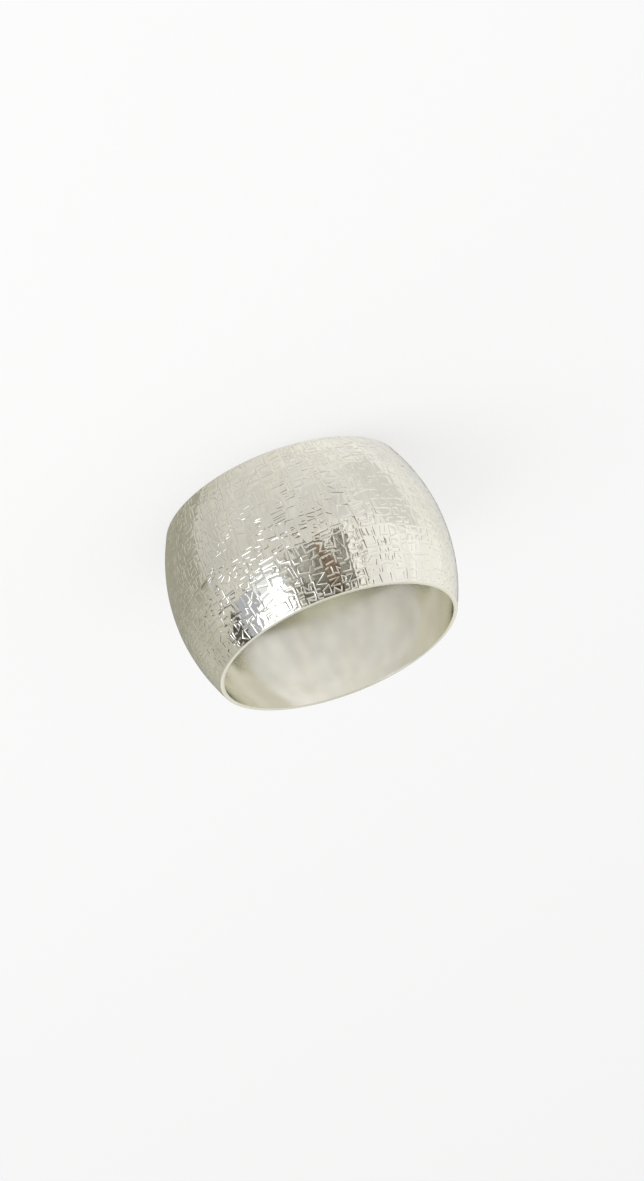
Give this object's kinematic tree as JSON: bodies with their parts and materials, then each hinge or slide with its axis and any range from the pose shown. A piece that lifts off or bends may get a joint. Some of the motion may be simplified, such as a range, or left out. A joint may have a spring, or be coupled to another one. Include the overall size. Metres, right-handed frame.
{
  "type": "napkin ring",
  "caption": "Open barrel-shaped napkin ring of thin bright silver sheet, stamped all over its outside with short fine strokes.",
  "frame": {"origin": "centre of the lower rim, on the surface that the ring stands on", "axes": "+Z along the barrel's axis, from the rim it stands on to the open upper rim; the ring is round, so X and Y are free"},
  "size_m": [0.045, 0.045, 0.0264],
  "materials": {
    "silver": "bright silver plate, mirror polished, with fine stamped strokes on the outside"
  },
  "bodies": {
    "root": {"ring_band": "silver"}
  },
  "joints": []
}
